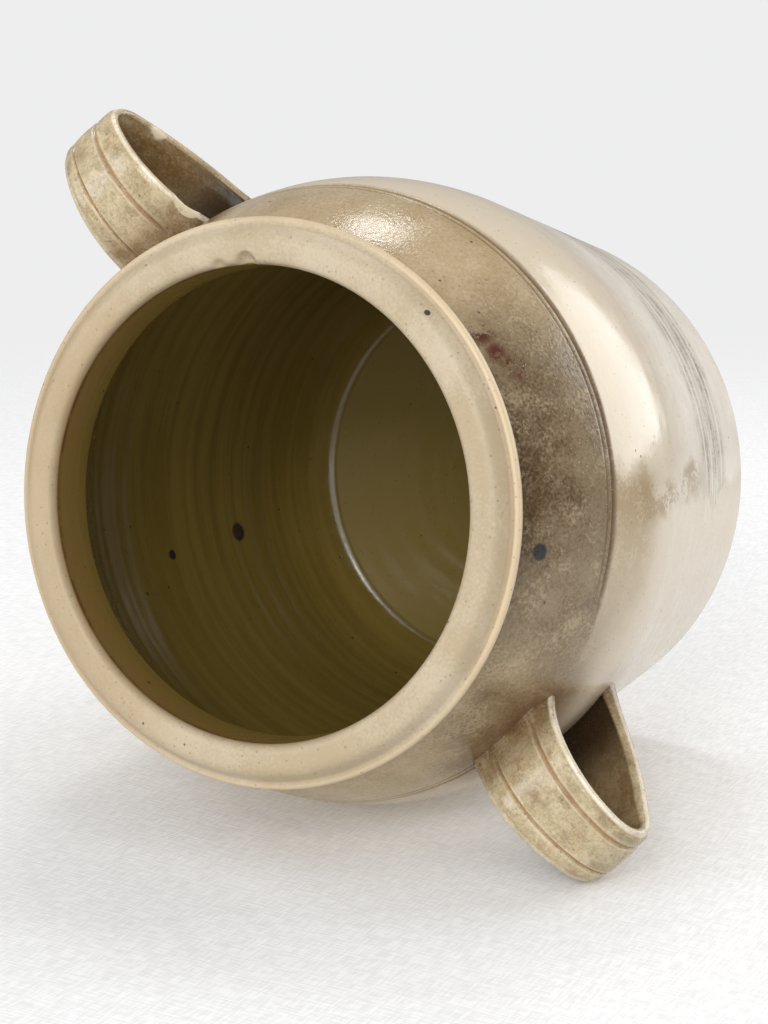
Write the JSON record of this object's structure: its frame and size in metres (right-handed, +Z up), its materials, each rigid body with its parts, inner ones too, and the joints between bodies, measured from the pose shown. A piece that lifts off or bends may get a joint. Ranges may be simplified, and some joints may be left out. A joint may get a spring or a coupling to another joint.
{
  "type": "stoneware bean pot",
  "caption": "Thrown stoneware bean pot with a round belly, a collared open mouth and a ribbed strap handle on each side of its shoulder.",
  "frame": {"origin": "centre of the flat foot, on the surface that the pot stands on", "axes": "+Z up along the pot's axis, +X towards the right handle, -X towards the left handle, each of which stands 3.8 degrees round from X towards -Y"},
  "size_m": [0.3242, 0.2244, 0.2113],
  "materials": {
    "glazed_body": "speckled ash glaze, glossy olive brown on the shoulder and inside, pale cream on the belly",
    "glazed_handle": "speckled greenish beige glaze, broken brown on the ribs"
  },
  "bodies": {
    "root": {"pot_body": "glazed_body", "left_handle": "glazed_handle", "right_handle": "glazed_handle"}
  },
  "joints": []
}
